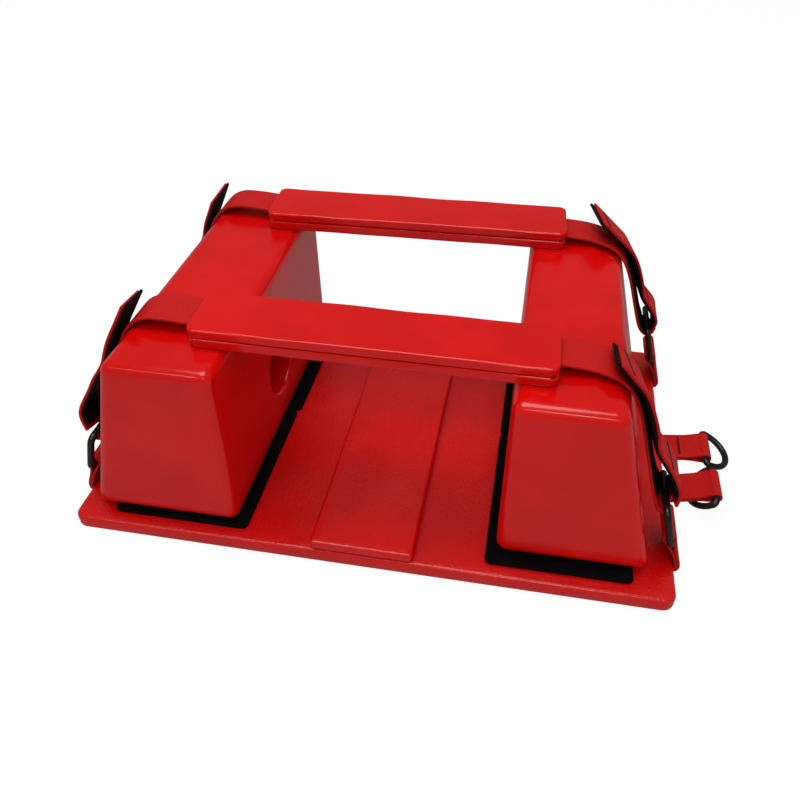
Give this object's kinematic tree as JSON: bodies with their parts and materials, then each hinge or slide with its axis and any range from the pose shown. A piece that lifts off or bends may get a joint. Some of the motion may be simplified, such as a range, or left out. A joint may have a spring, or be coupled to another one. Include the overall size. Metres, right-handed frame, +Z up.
{
  "type": "head immobiliser",
  "caption": "Head immobiliser for a rescue stretcher: coated foam base, two sliding head blocks with ear holes, and padded straps closed through side rings.",
  "frame": {"origin": "middle of the base's underside", "axes": "+X across the set towards the spare rings, +Y from the near edge to the far edge along the blocks, +Z up from the underside"},
  "size_m": [0.4561, 0.262, 0.1618],
  "materials": {
    "coating_red": "gloss",
    "foam_core": "matte",
    "webbing_red": "matte",
    "loop_fabric_black": "matte",
    "hook_fabric_black": "matte",
    "ring_black_nylon": "satin",
    "thread_black": "matte"
  },
  "bodies": {
    "base_body": {"base_core": "foam_core", "base_skin": "coating_red", "centre_pad_core": "foam_core", "centre_pad_skin": "coating_red", "front_left_loop_patch": "loop_fabric_black", "front_left_ring_tab": "webbing_red", "front_left_strap_drop": "webbing_red", "front_left_strap_ring": "ring_black_nylon", "front_right_loop_patch": "loop_fabric_black", "front_right_ring_tab": "webbing_red", "front_right_strap_drop": "webbing_red", "front_right_strap_ring": "ring_black_nylon", "front_strap_pad_bottom": "coating_red", "front_strap_pad_top": "coating_red", "front_strap_web": "webbing_red", "loop_pad_front_left": "loop_fabric_black", "loop_pad_front_right": "loop_fabric_black", "loop_pad_rear_left": "loop_fabric_black", "loop_pad_rear_right": "loop_fabric_black", "rear_left_loop_patch": "loop_fabric_black", "rear_left_ring_tab": "webbing_red", "rear_left_strap_drop": "webbing_red", "rear_left_strap_ring": "ring_black_nylon", "rear_right_loop_patch": "loop_fabric_black", "rear_right_ring_tab": "webbing_red", "rear_right_strap_drop": "webbing_red", "rear_right_strap_ring": "ring_black_nylon", "rear_strap_pad_bottom": "coating_red", "rear_strap_pad_top": "coating_red", "rear_strap_web": "webbing_red", "spare_front_tab": "webbing_red", "spare_rear_tab": "webbing_red", "spare_tab_tacks": "thread_black"},
    "block_left_body": {"block_core_left": "foam_core", "block_skin_left": "coating_red", "hook_pad_front_left": "hook_fabric_black", "hook_pad_rear_left": "hook_fabric_black"},
    "block_right_body": {"block_core_right": "foam_core", "block_skin_right": "coating_red", "hook_pad_front_right": "hook_fabric_black", "hook_pad_rear_right": "hook_fabric_black"},
    "front_left_tail_body": {"front_left_tail": "webbing_red", "front_left_hook_patch": "hook_fabric_black", "front_left_tail_tack": "thread_black"},
    "front_right_tail_body": {"front_right_tail": "webbing_red", "front_right_hook_patch": "hook_fabric_black", "front_right_tail_tack": "thread_black"},
    "rear_left_tail_body": {"rear_left_tail": "webbing_red", "rear_left_hook_patch": "hook_fabric_black", "rear_left_tail_tack": "thread_black"},
    "rear_right_tail_body": {"rear_right_tail": "webbing_red", "rear_right_hook_patch": "hook_fabric_black", "rear_right_tail_tack": "thread_black"},
    "spare_front_ring_body": {"spare_front_ring": "ring_black_nylon"},
    "spare_rear_ring_body": {"spare_rear_ring": "ring_black_nylon"}
  },
  "joints": [
    {"name": "block_left_slide", "type": "slide", "parent": "base_body", "child": "block_left_body", "axis": [1, 0, 0], "range_m": [0, 0.04]},
    {"name": "block_right_slide", "type": "slide", "parent": "base_body", "child": "block_right_body", "axis": [-1, 0, 0], "range_m": [0, 0.04]},
    {"name": "front_left_tail_peel", "type": "hinge", "parent": "base_body", "child": "front_left_tail_body", "pos_m": [-0.18741, -0.0875, 0.06416], "axis": [0, -1, 0], "range_deg": [0, 100]},
    {"name": "front_right_tail_peel", "type": "hinge", "parent": "base_body", "child": "front_right_tail_body", "pos_m": [0.18741, -0.0875, 0.06416], "axis": [0, 1, 0], "range_deg": [0, 100]},
    {"name": "rear_left_tail_peel", "type": "hinge", "parent": "base_body", "child": "rear_left_tail_body", "pos_m": [-0.18741, 0.1035, 0.06416], "axis": [0, -1, 0], "range_deg": [0, 100]},
    {"name": "rear_right_tail_peel", "type": "hinge", "parent": "base_body", "child": "rear_right_tail_body", "pos_m": [0.18741, 0.1035, 0.06416], "axis": [0, 1, 0], "range_deg": [0, 100]},
    {"name": "spare_front_ring_swing", "type": "hinge", "parent": "base_body", "child": "spare_front_ring_body", "pos_m": [0.23298, -0.0285, 0.01487], "axis": [0, -1, 0], "range_deg": [0, 265]},
    {"name": "spare_rear_ring_swing", "type": "hinge", "parent": "base_body", "child": "spare_rear_ring_body", "pos_m": [0.23199, 0.0155, 0.00995], "axis": [0, -1, 0], "range_deg": [0, 150]}
  ]
}
